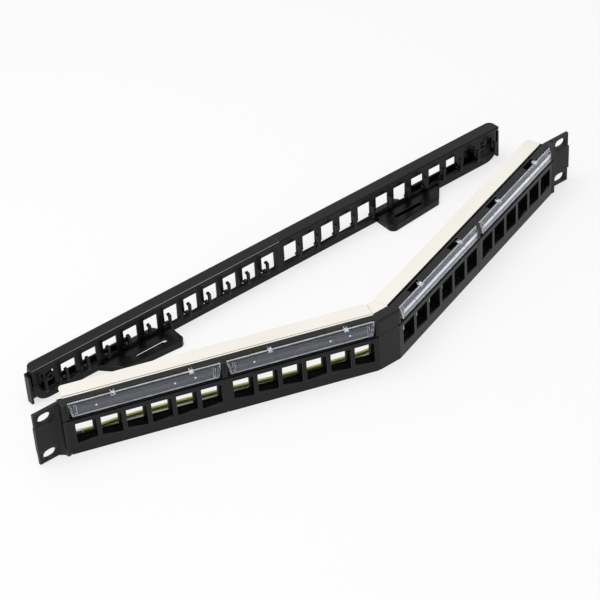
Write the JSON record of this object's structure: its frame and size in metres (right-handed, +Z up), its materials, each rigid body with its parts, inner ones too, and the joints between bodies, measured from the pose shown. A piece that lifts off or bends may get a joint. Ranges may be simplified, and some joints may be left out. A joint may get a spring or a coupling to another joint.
{
  "type": "patch panel",
  "caption": "Angled rack-mount keystone patch panel, one unit high, with hinged clear label covers, folded steel trays and a separate rear cable bar with hooks.",
  "frame": {"origin": "middle of the four rack slots, on the rear face of the ears where they meet the rack rails", "axes": "+X to the right across the rack, +Y into the rack, +Z up"},
  "size_m": [0.4826, 0.1448, 0.044],
  "materials": {
    "black_plastic": "satin moulded black",
    "tray_paint": "smooth ivory powder coat",
    "clear_plastic": "clear polycarbonate",
    "label_card": "matt grey card",
    "screw_steel": "zinc plated",
    "tinned_copper": "tinned",
    "wire_pvc": "green and yellow PVC"
  },
  "bodies": {
    "panel": {"ear_left": "black_plastic", "ear_right": "black_plastic", "nose_cover": "black_plastic", "centre_bracket": "tray_paint", "tray_left": "tray_paint", "tray_right": "tray_paint", "port_module_1": "black_plastic", "port_module_2": "black_plastic", "port_module_3": "black_plastic", "port_module_4": "black_plastic", "label_strip_1": "label_card", "label_strip_2": "label_card", "label_strip_3": "label_card", "label_strip_4": "label_card", "ear_screws": "screw_steel", "bracket_screws": "screw_steel", "module_screws": "screw_steel", "earth_lug_left": "tinned_copper", "earth_lug_right": "tinned_copper", "earth_studs": "screw_steel", "earth_nuts": "screw_steel", "earth_wire": "wire_pvc"},
    "cover_1": {"label_cover_1": "clear_plastic"},
    "cover_2": {"label_cover_2": "clear_plastic"},
    "cover_3": {"label_cover_3": "clear_plastic"},
    "cover_4": {"label_cover_4": "clear_plastic"},
    "cable_bar": {"cable_bar_left": "black_plastic", "cable_bar_right": "black_plastic", "cable_hooks_left": "black_plastic", "cable_hooks_right": "black_plastic", "bar_foot_left": "black_plastic", "bar_foot_right": "black_plastic"}
  },
  "joints": [
    {"name": "cover_1_hinge", "type": "hinge", "parent": "panel", "child": "cover_1", "pos_m": [-0.16512, -0.02063, 0.0204], "axis": [-0.9478, 0.319, 0], "range_deg": [0, 75]},
    {"name": "cover_2_hinge", "type": "hinge", "parent": "panel", "child": "cover_2", "pos_m": [-0.0602, -0.05593, 0.0204], "axis": [-0.9478, 0.319, 0], "range_deg": [0, 75]},
    {"name": "cover_3_hinge", "type": "hinge", "parent": "panel", "child": "cover_3", "pos_m": [0.0602, -0.05593, 0.0204], "axis": [-0.9478, -0.319, 0], "range_deg": [0, 75]},
    {"name": "cover_4_hinge", "type": "hinge", "parent": "panel", "child": "cover_4", "pos_m": [0.16512, -0.02063, 0.0204], "axis": [-0.9478, -0.319, 0], "range_deg": [0, 75]},
    {"name": "cable_bar_fit", "type": "slide", "parent": "panel", "child": "cable_bar", "axis": [0, -1, 0], "range_m": [0, 0.038]}
  ]
}
